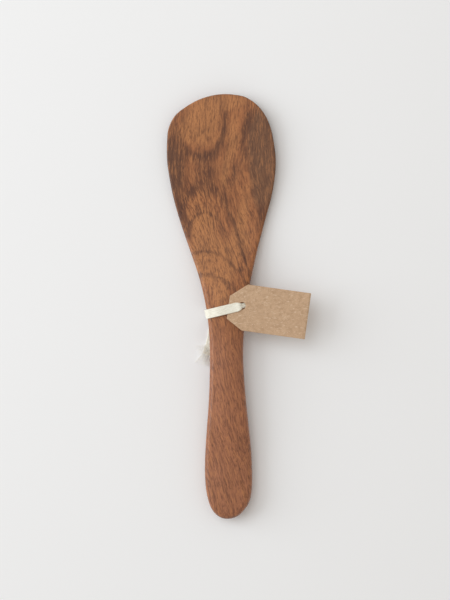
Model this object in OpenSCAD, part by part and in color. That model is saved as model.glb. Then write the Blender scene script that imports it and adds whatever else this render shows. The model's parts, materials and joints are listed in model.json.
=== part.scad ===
// Wooden spatula with a card tag tied round its neck by a flat cotton tape.
// Sizes are in millimetres. Y runs from the handle to the blade, X to the right and Z up.
// The origin is on the underside of the blade, in the flat that it rests on.
// Until the last step the places along Y are counted from the handle's end.

/* [Outline] */
// Length from the handle's end to the blade's tip
length = 300; // [285:1:330]
// Width of the blade at its widest
blade_w = 77; // [66:1:88]
// Width of the neck, where the tape is tied
neck_w = 27.8; // [26:0.1:31]
// Width of the handle at its waist
waist_w = 23.6; // [20:0.1:25.6]
// Width of the grip at its widest
grip_w = 33.5; // [28:0.1:38]

/* [Places along the length] */
// Widest place of the grip, from the handle's end
grip_at = 34; // [28:1:42]
// Waist of the handle, from the handle's end
waist_at = 112; // [104:1:120]
// Middle of the neck, from the handle's end
neck_at = 147; // [140:1:154]
// From the neck to the flat that the blade rests on
heel_len = 60; // [50:1:68]
// From the widest place of the blade to its tip
tip_len = 46; // [38:1:56]

/* [Thickness] */
// Thickness at the handle's end
end_t = 11; // [9:0.1:12.5]
// Thickness of the grip
grip_t = 14; // [11:0.1:16]
// Thickness of the waist
waist_t = 11.4; // [10:0.1:11.5]
// Thickness of the neck
neck_t = 12; // [11.9:0.1:13.5]
// Thickness of the blade where it rests
blade_t = 6.8; // [5:0.1:8.5]
// Thickness of the blade's tip
tip_t = 3.2; // [2:0.1:4.5]

/* [Height of the underside] */
// Height at the handle's end
end_lift = 2.2; // [0.5:0.1:4]
// Height under the waist
waist_lift = 6; // [5.5:0.1:7.5]
// Height under the neck
neck_lift = 5.5; // [5:0.1:6]
// Height under the tip
tip_lift = 6; // [3:0.1:9]

/* [Edges] */
// Radius of the handle's edges
handle_round = 4.4; // [2.5:0.1:5]
// Radius of the neck's edges
neck_round = 4; // [2.5:0.1:4.6]
// Radius of the blade's edges
blade_round = 1.8; // [0.8:0.1:2.6]
// Radius of the tip's edge
tip_round = 1; // [0.5:0.1:1.4]
// Doming of the grip's top
grip_crown = 1.4; // [0.4:0.1:2.4]
// Doming of the neck's top
neck_crown = 0.8; // [0.3:0.1:1.4]
// Hollowing of the blade's top
blade_dish = 0.4; // [0:0.1:0.9]
// Rounding of the underside from side to side
belly = 0.8; // [0.4:0.1:1.2]

/* [Card tag] */
// Length of the tag
tag_len = 56; // [46:1:70]
// Width of the tag
tag_w = 32.5; // [27:0.5:36]
// Thickness of the card
tag_t = 0.5; // [0.3:0.05:0.8]
// Radius of the punched hole
hole_r = 2.5; // [2.3:0.1:3]
// From the tag's short edge to the middle of the hole
hole_back = 9.4; // [7:0.1:11]
// Length of the clipped corners along the tag
clip_len = 11.5; // [8:0.5:14]
// Depth of the upper clipped corner
clip_up = 9.6; // [6:0.1:11]
// Depth of the lower clipped corner
clip_down = 6.8; // [5:0.1:9]
// Angle that the tag lies at
tag_turn = -9; // [-20:1:10]

/* [Cotton tape] */
// Width of the tape
tape_w = 6.5; // [5.5:0.1:7]
// Thickness of the tape
tape_t = 0.7; // [0.5:0.05:0.8]
// Angle that the tape crosses the neck at
tape_turn = 12.4; // [6:0.1:16]
// Length of the knot
knot_l = 9; // [7.5:0.5:11]
// Width of the knot
knot_w = 8; // [7:0.5:9.5]

/* [Hidden] */

// How far the hand-cut outline leans to the right at each place
end_lean = -1;
grip_lean = 0.45;
waist_lean = 0.5;
neck_lean = 1;
blade_lean = -0.5;
tip_lean = 2;

// Places that follow from the sizes above
blade_at = length - tip_len;
rest_at = neck_at + heel_len;
grip_waist_at = between(grip_at, waist_at, 0.5);
heel_at = between(neck_at, rest_at, 0.5);

// Outline of the wood
// Each station is a place along the length, the width there and its lean.
end_st = [0, 0, end_lean];
grip_st = [grip_at, grip_w, grip_lean];
waist_st = [waist_at, waist_w, waist_lean];
neck_st = [neck_at, neck_w, neck_lean];
blade_st = [blade_at, blade_w, blade_lean];
tip_st = [length, 0, tip_lean];

// Points between two stations, as shares of the step sideways and of the step along.
end_right_shares = [[0.38, 0.045], [0.68, 0.19], [0.88, 0.36], [0.98, 0.63]];
end_left_shares = [[0.33, 0.035], [0.66, 0.17], [0.85, 0.37], [0.96, 0.62]];
grip_right_shares = [[0.08, 0.18], [0.39, 0.41], [0.75, 0.68]];
grip_left_shares = [[0.12, 0.18], [0.42, 0.41], [0.79, 0.68]];
waist_right_shares = [[0.25, 0.49]];
waist_left_shares = [[0.05, 0.49]];
neck_right_shares = [[0.17, 0.2], [0.39, 0.4], [0.65, 0.6], [0.87, 0.765], [0.98, 0.905]];
neck_left_shares = [[0.16, 0.2], [0.42, 0.4], [0.68, 0.6], [0.855, 0.765], [0.955, 0.905]];
tip_right_shares = [[0.03, 0.24], [0.09, 0.475], [0.19, 0.665], [0.36, 0.835], [0.59, 0.955],
    [0.8, 0.99]];
tip_left_shares = [[0.005, 0.28], [0.035, 0.49], [0.15, 0.68], [0.34, 0.815], [0.55, 0.915],
    [0.78, 0.98]];

// Steps of the wood's surface
span_steps = 4;
round_steps = 5;
column_steps = 8;

// A fillet takes at most this share of the edge that it rounds
fillet_share = 0.46;
// How far the rest flats are planed below a point contact
flat_cut = 0.3;

// Heights along the length, as shares of the sizes that they follow
grip_waist_lift_share = 0.55;
heel_lift_share = 0.42;
heel_t_share = 0.5;
blade_lift_share = 0.3;
blade_edge_t_share = 0.4;

lift_table = [[0, end_lift], [grip_at, -flat_cut],
    [grip_waist_at, waist_lift * grip_waist_lift_share], [waist_at, waist_lift],
    [neck_at, neck_lift], [heel_at, neck_lift * heel_lift_share], [rest_at, -flat_cut],
    [blade_at, tip_lift * blade_lift_share], [length, tip_lift]];
thick_table = [[0, end_t], [grip_at, grip_t], [waist_at, waist_t], [neck_at, neck_t],
    [heel_at, between(blade_t, neck_t, heel_t_share)], [rest_at, blade_t],
    [blade_at, between(tip_t, blade_t, 1 - blade_edge_t_share)], [length, tip_t]];
round_table = [[0, handle_round], [grip_at, handle_round], [neck_at, neck_round],
    [rest_at, blade_round], [length, tip_round]];
crown_table = [[0, 0], [grip_at, grip_crown], [neck_at, neck_crown], [rest_at, 0],
    [blade_at, -blade_dish], [length, 0]];
belly_table = [[0, 0], [grip_at, belly], [blade_at, belly], [length, 0]];

// Gap between pieces that move on each other
slip_gap = 0.2;

// Place of the tag's hole, at the right shoulder of the neck
hole_in = 2.8;
hole_up = 3.3;
hole_x = neck_lean + neck_w / 2 - hole_in;
hole_y = neck_at + hole_up;
// How far the hole is off the tag's middle line
hole_off = 0.9;

// Knot, under the neck
knot_back = 12.5;
knot_floor = 0.3;
knot_bite = 0.6;

// Routes of the two tape ends: x and y from the middle of the knot, z from the table
tail_long_route = [[-1.5, -2, 2.2], [-3.8, -6, 1], [-6.5, -9.5, 0.5], [-8.5, -14, 0.5],
    [-9.5, -19.5, 0.5], [-11, -25, 0.5], [-13, -30.5, 0.5], [-15.5, -36, 0.5],
    [-17, -40, 0.5]];
tail_short_route = [[2.6, -2, 2.4], [4, -6, 1.2], [4.5, -10.5, 0.6], [3.5, -15, 0.5],
    [0.5, -19, 0.7], [-4.5, -22, 1.4], [-10, -25.2, 1.5], [-15, -28.5, 1.5],
    [-19.5, -31.8, 1.4]];
tail_start_share = 0.52;
tail_end_share = 1.15;
tail_steps = 4;

// Curves

function between(a, b, share) = a + (b - a) * share;

// Slope of a table at its row i, which never overshoots a row
function row_slope(t, i) =
    i == 0 || i == len(t) - 1 ? 0 :
    let (
        h0 = t[i][0] - t[i - 1][0],
        h1 = t[i + 1][0] - t[i][0],
        d0 = (t[i][1] - t[i - 1][1]) / h0,
        d1 = (t[i + 1][1] - t[i][1]) / h1
    )
    d0 * d1 <= 0 ? 0 : 3 * (h0 + h1) / ((2 * h1 + h0) / d0 + (h1 + 2 * h0) / d1);

// Smooth value of a table of [place, value] rows at the place y
function flow(t, y) =
    let (
        last = len(t) - 1,
        below = [for (k = [0 : last - 1]) if (y >= t[k][0]) k],
        i = len(below) == 0 ? 0 : below[len(below) - 1],
        h = t[i + 1][0] - t[i][0],
        s = min(1, max(0, (y - t[i][0]) / h)),
        turn = s * s * (3 - 2 * s)
    )
    between(t[i][1], t[i + 1][1], turn)
        + row_slope(t, i) * h * s * (1 - s) * (1 - s)
        - row_slope(t, i + 1) * h * s * s * (1 - s);

// Point at the share s from p1 to p2 on a smooth curve through four points
function curve_point(p0, p1, p2, p3, s) =
    let (
        k1 = sqrt(norm(p1 - p0)),
        k2 = sqrt(norm(p2 - p1)),
        k3 = sqrt(norm(p3 - p2)),
        m1 = (p2 - p1) + k2 * ((p1 - p0) / k1 - (p2 - p0) / (k1 + k2)),
        m2 = (p2 - p1) + k2 * ((p3 - p2) / k3 - (p3 - p1) / (k2 + k3)),
        turn = s * s * (3 - 2 * s)
    )
    between(p1, p2, turn) + m1 * s * (1 - s) * (1 - s) - m2 * s * s * (1 - s);

// Closed curve through the points p
function closed_curve(p, steps) =
    let (n = len(p))
    [for (i = [0 : n - 1], k = [0 : steps - 1])
        curve_point(p[(i + n - 1) % n], p[i], p[(i + 1) % n], p[(i + 2) % n], k / steps)];

// Open curve through the points p, which runs straight on at both ends
function open_curve(p, steps) =
    let (n = len(p), q = concat([2 * p[0] - p[1]], p, [2 * p[n - 1] - p[n - 2]]))
    concat([for (i = [1 : n - 1], k = [0 : steps - 1])
        curve_point(q[i - 1], q[i], q[i + 1], q[i + 2], k / steps)], [p[n - 1]]);

// Arc of a circle about the point c
function arc(c, r, from, to, steps) =
    [for (k = [0 : steps]) let (a = between(from, to, k / steps)) c + r * [cos(a), sin(a)]];

// Shape of the wood

function edge(side, st) = [st[2] + side * st[1] / 2, st[0]];
function edge_run(side, a, b, shares) =
    let (p = edge(side, a), q = edge(side, b))
    [for (s = shares) [between(p[0], q[0], s[0]), between(p[1], q[1], s[1])]];
function reversed(p) = [for (i = [len(p) - 1 : -1 : 0]) p[i]];

right_points = concat(
    edge_run(1, end_st, grip_st, end_right_shares), [edge(1, grip_st)],
    edge_run(1, grip_st, waist_st, grip_right_shares), [edge(1, waist_st)],
    edge_run(1, waist_st, neck_st, waist_right_shares), [edge(1, neck_st)],
    edge_run(1, neck_st, blade_st, neck_right_shares), [edge(1, blade_st)],
    edge_run(1, blade_st, tip_st, tip_right_shares));
left_points = concat(
    edge_run(-1, end_st, grip_st, end_left_shares), [edge(-1, grip_st)],
    edge_run(-1, grip_st, waist_st, grip_left_shares), [edge(-1, waist_st)],
    edge_run(-1, waist_st, neck_st, waist_left_shares), [edge(-1, neck_st)],
    edge_run(-1, neck_st, blade_st, neck_left_shares), [edge(-1, blade_st)],
    edge_run(-1, blade_st, tip_st, tip_left_shares));
// Counter-clockwise from the handle's end, so a point and its partner across the wood
// are counted alike from both ends of the list
outline = closed_curve(concat([edge(1, end_st)], right_points, [edge(1, tip_st)],
    reversed(left_points)), span_steps);
outline_n = len(outline);
half_n = outline_n / 2;

// Heights of the top and the underside at the place y and the share s from the middle to the side
function top_z(y, s) = flow(lift_table, y) + flow(thick_table, y) - flow(crown_table, y) * s * s;
function under_z(y, s) = flow(lift_table, y) + flow(belly_table, y) * s * s;
function edge_round(y) =
    min(flow(round_table, y), (top_z(y, 1) - under_z(y, 1)) * fillet_share);

// Unit vector from the outline's point i into the wood
function inward(i) =
    let (d = outline[(i + 1) % outline_n] - outline[(i + outline_n - 1) % outline_n])
    [-d[1], d[0]] / norm(d);

// A ring of the rounded edge: side is 1 for the upper fillet and -1 for the lower one,
// and a is the angle along the fillet, 0 at the edge and 90 where it meets the face
function edge_ring(side, a) =
    [for (i = [0 : outline_n - 1])
        let (
            r = edge_round(outline[i][1]),
            p = outline[i] + inward(i) * r * (1 - cos(a)),
            face_z = side > 0 ? top_z(p[1], 1) : under_z(p[1], 1)
        )
        [p[0], p[1], max(0, face_z - side * r * (1 - sin(a)))]];

// Columns of points across a face, between the ring's right and left points
function face_points(side, ring) =
    [for (j = [1 : half_n - 1], c = [1 : column_steps - 1])
        let (
            share = c / column_steps,
            p = between(ring[j], ring[outline_n - j], share),
            z = side > 0 ? top_z(p[1], 2 * share - 1) : under_z(p[1], 2 * share - 1)
        )
        [p[0], p[1], max(0, z)]];

// Index of the face's point in row j and column c, where the outer columns are on the ring
function face_index(ring_start, face_start, j, c) =
    j == 0 ? ring_start :
    j == half_n ? ring_start + half_n :
    c == 0 ? ring_start + j :
    c == column_steps ? ring_start + outline_n - j :
    face_start + (j - 1) * (column_steps - 1) + c - 1;

// Two triangles on a quad, or one where the quad has a side of no length
function quad_faces(a, b, c, d) =
    a == b ? [[a, c, d]] : c == d ? [[a, b, c]] : [[a, b, c], [a, c, d]];

function face_faces(ring_start, face_start, up) =
    [for (j = [0 : half_n - 1], c = [0 : column_steps - 1])
        let (
            a = face_index(ring_start, face_start, j, c),
            b = face_index(ring_start, face_start, j, c + 1),
            e = face_index(ring_start, face_start, j + 1, c + 1),
            f = face_index(ring_start, face_start, j + 1, c)
        )
        each (up ? quad_faces(a, b, e, f) : quad_faces(b, a, f, e))];

// Triangles between ring k and the next one of n points each, seen from outside
function band_faces(k, n) =
    [for (i = [0 : n - 1])
        let (a = k * n + i, b = k * n + (i + 1) % n)
        each quad_faces(a, b, b + n, a + n)];

module carved_wood() {
    angles = [for (k = [0 : round_steps]) k * 90 / round_steps];
    rings = concat([for (a = reversed(angles)) edge_ring(1, a)],
        [for (a = angles) edge_ring(-1, a)]);
    top_face = face_points(1, rings[0]);
    under_face = face_points(-1, rings[len(rings) - 1]);
    top_start = len(rings) * outline_n;
    polyhedron(
        points = concat([for (r = rings) each r], top_face, under_face),
        faces = concat(
            [for (k = [0 : len(rings) - 2]) each band_faces(k, outline_n)],
            face_faces(0, top_start, true),
            face_faces(top_start - outline_n, top_start + len(top_face), false)));
}

// Tape, swept as a flat strip with eased edges

// Section of the strip: shares of half the width and of half the thickness
strip_shares = [[1, 0.35], [0.9, 1], [-0.9, 1], [-1, 0.35], [-1, -0.35], [-0.9, -1], [0.9, -1],
    [1, -0.35]];

// One ring of the strip about the point p, with its width along side and thickness along up
function strip_ring(p, side, up, w, t) =
    [for (s = strip_shares) p + side * s[0] * w / 2 + up * s[1] * t / 2];

// A closed solid through rings of points that go round clockwise when seen from the start
module skin(rings) {
    n = len(rings[0]);
    last = len(rings) - 1;
    polyhedron(
        points = [for (r = rings) each r],
        faces = concat(
            [for (k = [0 : last - 1]) each band_faces(k, n)],
            [[for (i = [n - 1 : -1 : 0]) i]],
            [[for (i = [0 : n - 1]) last * n + i]]));
}

function unit(v) = v / norm(v);
function direction(p, i) = unit(p[min(i + 1, len(p) - 1)] - p[max(i - 1, 0)]);

// The tape's own axes: u along its way over the neck, v across it, both from the tag's hole
u_axis = [cos(tape_turn), sin(tape_turn), 0];
v_axis = [-sin(tape_turn), cos(tape_turn), 0];
hole_place = [hole_x, hole_y, 0];
function u_of(p) = ([p[0], p[1], 0] - hole_place) * u_axis;
function v_of(p) = ([p[0], p[1], 0] - hole_place) * v_axis;

// The wood that the tape goes round
edge_steps = 8;
side_u = [for (i = [0 : outline_n - 1], k = [0 : edge_steps - 1])
    let (p = between(outline[i], outline[(i + 1) % outline_n], k / edge_steps))
    if (abs(v_of(p)) < tape_w / 2 + slip_gap) u_of(p)];
left_u = min(side_u);
right_u = max(side_u);
seat_y = [for (s = [-1 : 0.25 : 1]) hole_y - hole_up + s * tape_w];
seat_top = max([for (y = seat_y) top_z(y, 0)]);
seat_under = min([for (y = seat_y) under_z(y, 0)]);
seat_shoulder = seat_top - neck_crown;
seat_round = edge_round(neck_at);
wrap_r = seat_round + slip_gap + tape_t / 2;
under_run_z = seat_under - slip_gap - tape_t / 2;

// The right shoulder, and the place on it where the strand comes out of the hole
right_centre = [right_u - seat_round, seat_shoulder - seat_round];
strand_out_share = 0.5;
strand_a = acos(min(1, (hole_r * strand_out_share - right_centre[0]) / wrap_r));
strand_w_share = 0.5;
strand_t_share = 2;
strand_out_z = right_centre[1] + wrap_r * sin(strand_a) + tape_t * strand_t_share / 2;

// Heights of the tag and of the tape over it
tag_z = max(seat_top, strand_out_z) + slip_gap;
tag_top = tag_z + tag_t;

// Outline of the tag, about its hole
tag_up = tag_w / 2 - hole_off;
tag_down = -tag_w / 2 - hole_off;
tag_points = [[-hole_back, tag_down + clip_down], [clip_len - hole_back, tag_down],
    [tag_len - hole_back, tag_down], [tag_len - hole_back, tag_up],
    [clip_len - hole_back, tag_up], [-hole_back, tag_up - clip_up]];
// The tape stays up over all that swings under it
lift_r = norm(tag_points[1]) + 2 * slip_gap;

left_top_centre = [left_u + seat_round, seat_shoulder - seat_round];
lift_point = [-lift_r, tag_top + slip_gap + tape_t / 2];
lift_d = lift_point - left_top_centre;
leave_a = atan2(lift_d[1], lift_d[0]) + acos(min(1, wrap_r / norm(lift_d)));

// The tape's way: rows of u, z, share of the width and share of the thickness
function plain_rows(p) = [for (q = p) [q[0], q[1], 1, 1]];
// Where it draws together towards the hole: shares of the hole's radius, the width and the thickness
over_tag_shares = [[3.4, 1, 1], [2, 0.92, 1.1], [1.3, 0.76, 1.3], [0.75, 0.58, 1.6]];
strand_in_share = 0.38;
strand_rise_share = 0.55;
function over_tag(u_share, w_share, t_share) =
    [-hole_r * u_share, tag_top + slip_gap + tape_t * t_share / 2, w_share, t_share];
wrap_steps = 6;
strand_arc = arc(right_centre, wrap_r, strand_a, 0, wrap_steps);
loop_rows = concat(
    plain_rows([[-knot_back - knot_l / 2 + knot_bite, under_run_z]]),
    plain_rows(arc([left_u + seat_round, seat_under + seat_round], wrap_r, 270, 180, wrap_steps)),
    plain_rows(arc(left_top_centre, wrap_r, 180, leave_a, wrap_steps)),
    plain_rows([lift_point]),
    [for (s = over_tag_shares) over_tag(s[0], s[1], s[2])],
    [[-hole_r * strand_in_share, tag_top + tape_t * strand_rise_share, strand_w_share, strand_t_share],
        [0, tag_top - tag_t / 2, strand_w_share, strand_t_share]],
    [for (k = [0 : wrap_steps])
        let (s = k / wrap_steps)
        [strand_arc[k][0], strand_arc[k][1], between(strand_w_share, 1, sqrt(s)),
            between(strand_t_share, 1, sqrt(s))]],
    plain_rows(arc([right_u - seat_round, seat_under + seat_round], wrap_r, 0, -90, wrap_steps)),
    plain_rows([[-knot_back + knot_l / 2 - knot_bite, under_run_z]]));

function loop_point(row) = hole_place + u_axis * row[0] + [0, 0, row[1]];

// Pieces

module wooden_spatula() {
    color("sienna") translate([0, -rest_at, 0]) carved_wood();
}

module card_tag() {
    overrun = tag_t;
    color("tan")
    translate([hole_x, hole_y - rest_at, tag_z]) rotate(tag_turn)
    difference() {
        linear_extrude(tag_t) polygon(tag_points);
        translate([0, 0, -overrun]) cylinder(h = tag_t + 2 * overrun, r = hole_r, $fn = 48);
    }
}

module tape_loop() {
    path = [for (row = loop_rows) loop_point(row)];
    color("ivory") translate([0, -rest_at, 0])
    skin([for (i = [0 : len(path) - 1])
        strip_ring(path[i], v_axis, cross(v_axis, direction(path, i)),
            tape_w * loop_rows[i][2], tape_t * loop_rows[i][3])]);
}

// Knot: its width and thickness along the tape, with a bight at each side of its middle
knot_shares = [[-1, 0.55, 0.24], [-0.86, 0.82, 0.64], [-0.55, 1, 0.96], [-0.22, 0.95, 1],
    [0, 0.88, 0.92], [0.22, 0.95, 1], [0.55, 1, 0.96], [0.86, 0.82, 0.64], [1, 0.55, 0.24]];
knot_sides = 16;
knot_square_share = 0.7;
knot_top = seat_under - slip_gap;
knot_t = knot_top - knot_floor;

// Point at the angle a of a rounded square section that reaches from -1 to 1
function eased(x) = sign(x) * pow(abs(x), knot_square_share);
function knot_ring(share, w, t) =
    [for (k = [0 : knot_sides - 1])
        let (a = -k * 360 / knot_sides)
        hole_place + u_axis * (-knot_back + share * knot_l / 2)
            + v_axis * eased(cos(a)) * w / 2
            + [0, 0, knot_top - t / 2 + eased(sin(a)) * t / 2]];

module tape_knot() {
    color("ivory") translate([0, -rest_at, 0])
    skin([for (s = knot_shares) knot_ring(s[0], knot_w * s[1], knot_t * s[2])]);
}

// A tape end, lying flat along its route
module tape_tail(route) {
    knot_place = loop_point([-knot_back, 0]);
    path = open_curve([for (p = route) knot_place + p], tail_steps);
    last = len(path) - 1;
    color("ivory") translate([0, -rest_at, 0])
    skin([for (i = [0 : last])
        let (
            d = direction(path, i),
            side = unit([-d[1], d[0], 0]),
            w = tape_w * (i < tail_steps ? between(tail_start_share, 1, i / tail_steps)
                : i > last - tail_steps ? between(1, tail_end_share, (i - last) / tail_steps + 1)
                : 1)
        )
        strip_ring(path[i], side, cross(side, d), w, tape_t)]);
}

module tape_tail_long() {
    tape_tail(tail_long_route);
}

module tape_tail_short() {
    tape_tail(tail_short_route);
}

wooden_spatula();
card_tag();
tape_loop();
tape_knot();
tape_tail_long();
tape_tail_short();
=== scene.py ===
"""A carved wooden spatula with a card tag tied round its neck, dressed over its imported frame."""

import json
import math
import random

import bmesh
import bpy
from mathutils import Matrix, Vector, noise
from mathutils.bvhtree import BVHTree


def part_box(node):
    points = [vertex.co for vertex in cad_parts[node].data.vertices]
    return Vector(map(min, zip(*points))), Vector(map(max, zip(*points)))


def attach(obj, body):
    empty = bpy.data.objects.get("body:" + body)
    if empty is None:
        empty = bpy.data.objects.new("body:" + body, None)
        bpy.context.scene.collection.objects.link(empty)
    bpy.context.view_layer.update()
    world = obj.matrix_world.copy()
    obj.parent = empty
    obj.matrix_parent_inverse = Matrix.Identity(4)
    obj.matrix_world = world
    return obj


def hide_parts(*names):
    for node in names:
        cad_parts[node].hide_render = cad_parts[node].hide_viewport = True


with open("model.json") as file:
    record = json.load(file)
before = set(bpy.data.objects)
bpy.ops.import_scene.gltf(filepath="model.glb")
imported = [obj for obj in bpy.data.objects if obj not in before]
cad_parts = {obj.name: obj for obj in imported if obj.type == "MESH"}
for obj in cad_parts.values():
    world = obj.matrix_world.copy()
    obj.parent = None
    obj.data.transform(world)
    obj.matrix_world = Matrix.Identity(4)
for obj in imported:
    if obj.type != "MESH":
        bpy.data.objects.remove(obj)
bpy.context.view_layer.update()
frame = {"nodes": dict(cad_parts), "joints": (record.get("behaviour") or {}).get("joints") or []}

MM = 0.001

# Places that the frame gives
handle_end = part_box("wooden_spatula")[0].y
tag_low, tag_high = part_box("card_tag")
hole = Vector(next(j for j in frame["joints"] if j["name"] == "tag_swing")["pos_m"])

# The tape's own axes: along its way over the neck, and across it
TAPE_TURN = math.radians(12.4)
tape_along = Vector((math.cos(TAPE_TURN), math.sin(TAPE_TURN), 0))
tape_across = Vector((-math.sin(TAPE_TURN), math.cos(TAPE_TURN), 0))

# Sizes of the tape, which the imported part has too
TAPE_W = 6.5 * MM
TAPE_T = 0.7 * MM
SLIP_GAP = 0.2 * MM
NECK_ROUND = 4 * MM
KNOT_BACK = 12.5 * MM
KNOT_L = 9 * MM
knot = Vector((hole.x, hole.y, 0)) - tape_along * KNOT_BACK


# Camera

CAMERA_LENS = 90
CAMERA_AIM = Vector((0.2, -52.4, 8)) * MM
CAMERA_ROLL = math.radians(-1.06)
PICTURED_HEIGHT = 423.8 * MM


def make_camera():
    """Looks straight down, and is turned a little so that the spatula leans to the left."""
    data = bpy.data.cameras.new("camera")
    data.lens = CAMERA_LENS
    camera = bpy.data.objects.new("camera", data)
    distance = PICTURED_HEIGHT * CAMERA_LENS / data.sensor_width
    camera.location = CAMERA_AIM + Vector((0, 0, distance))
    camera.rotation_euler = (0, 0, CAMERA_ROLL)
    bpy.context.scene.collection.objects.link(camera)
    bpy.context.scene.camera = camera


# Curves and meshes

# Steps of a smooth path from one of its points to the next
PATH_STEPS = 8


def curve_point(p0, p1, p2, p3, share):
    """Point at the share from p1 to p2 on a smooth curve through four points."""
    k1, k2, k3 = (math.sqrt((b - a).length) for a, b in ((p0, p1), (p1, p2), (p2, p3)))
    m1 = (p2 - p1) + k2 * ((p1 - p0) / k1 - (p2 - p0) / (k1 + k2))
    m2 = (p2 - p1) + k2 * ((p3 - p2) / k3 - (p3 - p1) / (k2 + k3))
    turn = share * share * (3 - 2 * share)
    away = share * (1 - share)
    return p1.lerp(p2, turn) + m1 * away * (1 - share) - m2 * away * share


def smooth_path(points):
    """Smooth open curve through the points, which may hold more values than a place."""
    ends = [2 * points[0] - points[1], *points, 2 * points[-1] - points[-2]]
    path = [curve_point(*ends[i:i + 4], k / PATH_STEPS)
            for i in range(len(points) - 1) for k in range(PATH_STEPS)]
    return path + [points[-1]]


def even_path(path, step):
    """The path again, with its points a step apart."""
    spans = [(Vector(b[:3]) - Vector(a[:3])).length for a, b in zip(path, path[1:])]
    total = sum(spans)
    count = max(2, round(total / step))
    made, i, gone = [], 0, 0.0
    for k in range(count + 1):
        target = total * k / count
        while i < len(spans) - 1 and gone + spans[i] < target:
            gone += spans[i]
            i += 1
        made.append(path[i].lerp(path[i + 1], min(1, (target - gone) / spans[i])))
    return made


def new_object(name, mesh):
    obj = bpy.data.objects.new(name, mesh)
    bpy.context.scene.collection.objects.link(obj)
    return obj


def shade_smooth(mesh):
    mesh.polygons.foreach_set("use_smooth", [True] * len(mesh.polygons))


def finish_piece(obj, body, material, node):
    """Gives a piece its finish and the body that it moves with, and hides the node that it stands
    for.
    """
    obj.data.materials.clear()
    obj.data.materials.append(material)
    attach(obj, body)
    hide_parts(node)
    return obj


# Woven tape

YARNS = 13
YARN_RISE = 0.03 * MM
# How far a yarn sinks where it runs under another, as a share of its rise
YARN_DIP = -0.4
WEFT_STEP = 0.25 * MM
SELVEDGE_SHARE = 0.1
FOLDS = 2.5
FOLD_DEPTH = 0.3
WEAVE_MAP = "weave"


class Strip:
    """A woven strip: a flat section carried along a path, with its yarns as real relief.

    Each row is a place, then the strip's width and thickness there. A row that is narrower
    than the tape is gathered into folds.
    """

    def __init__(self):
        self.bm = bmesh.new()
        self.weave = self.bm.loops.layers.uv.new(WEAVE_MAP)

    def section(self, index, width, thick):
        """Places across and above the strip's middle, once round it."""
        made = []
        columns = 2 * YARNS
        gather = max(0, 1 - width / TAPE_W)
        for side in (1, -1):
            for c in range(columns):
                share = side * (1 - 2 * c / columns)
                edge = max(0, (abs(share) - 1 + SELVEDGE_SHARE) / SELVEDGE_SHARE)
                rise = side * thick / 2 * math.sqrt(max(0, 1 - edge * edge))
                if c % 2 and edge < 1:
                    over = 1 if (c // 2 + index // 2) % 2 else YARN_DIP
                    rise += side * YARN_RISE * over
                fold = math.cos(share * math.pi * FOLDS) * thick * gather * FOLD_DEPTH
                made.append((share * width / 2, rise + fold, share * TAPE_W / 2))
        return made

    def sweep(self, rows, side_of):
        """Carries the section along the rows. side_of says where its side points."""
        rings = []
        along = 0.0
        for i, here in enumerate(rows):
            place = Vector(here[:3])
            ahead = Vector(rows[min(i + 1, len(rows) - 1)][:3])
            behind = Vector(rows[max(i - 1, 0)][:3])
            way = (ahead - behind).normalized()
            side = side_of(way)
            up = side.cross(way).normalized()
            if i:
                along += (place - Vector(rows[i - 1][:3])).length
            ring = [(self.bm.verts.new(place + side * a + up * b), (along, v))
                    for a, b, v in self.section(i, here[3], here[4])]
            rings.append(ring)
        for near, far in zip(rings, rings[1:]):
            for k in range(len(near)):
                n = (k + 1) % len(near)
                self.face([near[k], near[n], far[n], far[k]])
        self.face(list(reversed(rings[0])))
        self.face(rings[-1])

    def face(self, corners):
        """A smooth face. Each corner is a vertex and its place on the weave map."""
        made = self.bm.faces.new([vert for vert, _ in corners])
        made.smooth = True
        for loop, (_, place) in zip(made.loops, corners):
            loop[self.weave].uv = place

    def finish(self, name):
        bmesh.ops.recalc_face_normals(self.bm, faces=self.bm.faces)
        mesh = bpy.data.meshes.new(name)
        self.bm.to_mesh(mesh)
        self.bm.free()
        return new_object(name, mesh)


def level_side(way):
    """Side of a strip that lies flat, seen along its way."""
    return Vector((-way.y, way.x, 0)).normalized()


def loop_side(way):
    """Side of the loop, which stays across the tape all the way round."""
    return tape_across


def row(place, width, thick=TAPE_T):
    """One row of a strip: its place, width and thickness."""
    return Vector((*place, width, thick))


# Free ends of the tape in metres: x and y from the middle of the knot, z from the table
TAIL_LONG = [(-0.0015, -0.002, 0.0022), (-0.0038, -0.006, 0.001), (-0.0065, -0.0095, 0.0005),
             (-0.0085, -0.014, 0.0005), (-0.0095, -0.0195, 0.0005), (-0.011, -0.025, 0.0005),
             (-0.013, -0.0305, 0.0005), (-0.0155, -0.036, 0.0005), (-0.017, -0.04, 0.0005)]
TAIL_SHORT = [(0.0026, -0.002, 0.0024), (0.004, -0.006, 0.0012), (0.0045, -0.0105, 0.0006),
              (0.0035, -0.015, 0.0005), (0.0005, -0.019, 0.0007), (-0.0045, -0.022, 0.0014),
              (-0.010, -0.0252, 0.0015), (-0.015, -0.0285, 0.0015), (-0.0195, -0.0318, 0.0014)]
TAIL_START_W = 0.46 * TAPE_W
TAIL_OPEN = 5 * MM
FRAYED = 9 * MM


def tail_rows(path):
    """The woven part: it leaves the knot gathered, and opens flat."""
    rows = []
    for i, place in enumerate(path[:-round(FRAYED / WEFT_STEP)]):
        opened = min(1, i * WEFT_STEP / TAIL_OPEN)
        width = TAIL_START_W + (TAPE_W - TAIL_START_W) * math.sin(opened * math.pi / 2)
        rows.append(row(place, width))
    return rows


def make_tail(name, route, material):
    """A free end from the knot: woven, then frayed."""
    path = even_path(smooth_path([knot + Vector(p) for p in route]), WEFT_STEP)
    strip = Strip()
    strip.sweep(tail_rows(path), level_side)
    add_fray(strip, path, random.Random(name))
    tail = finish_piece(strip.finish(name), "tape", material, "tape_" + name)


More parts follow.
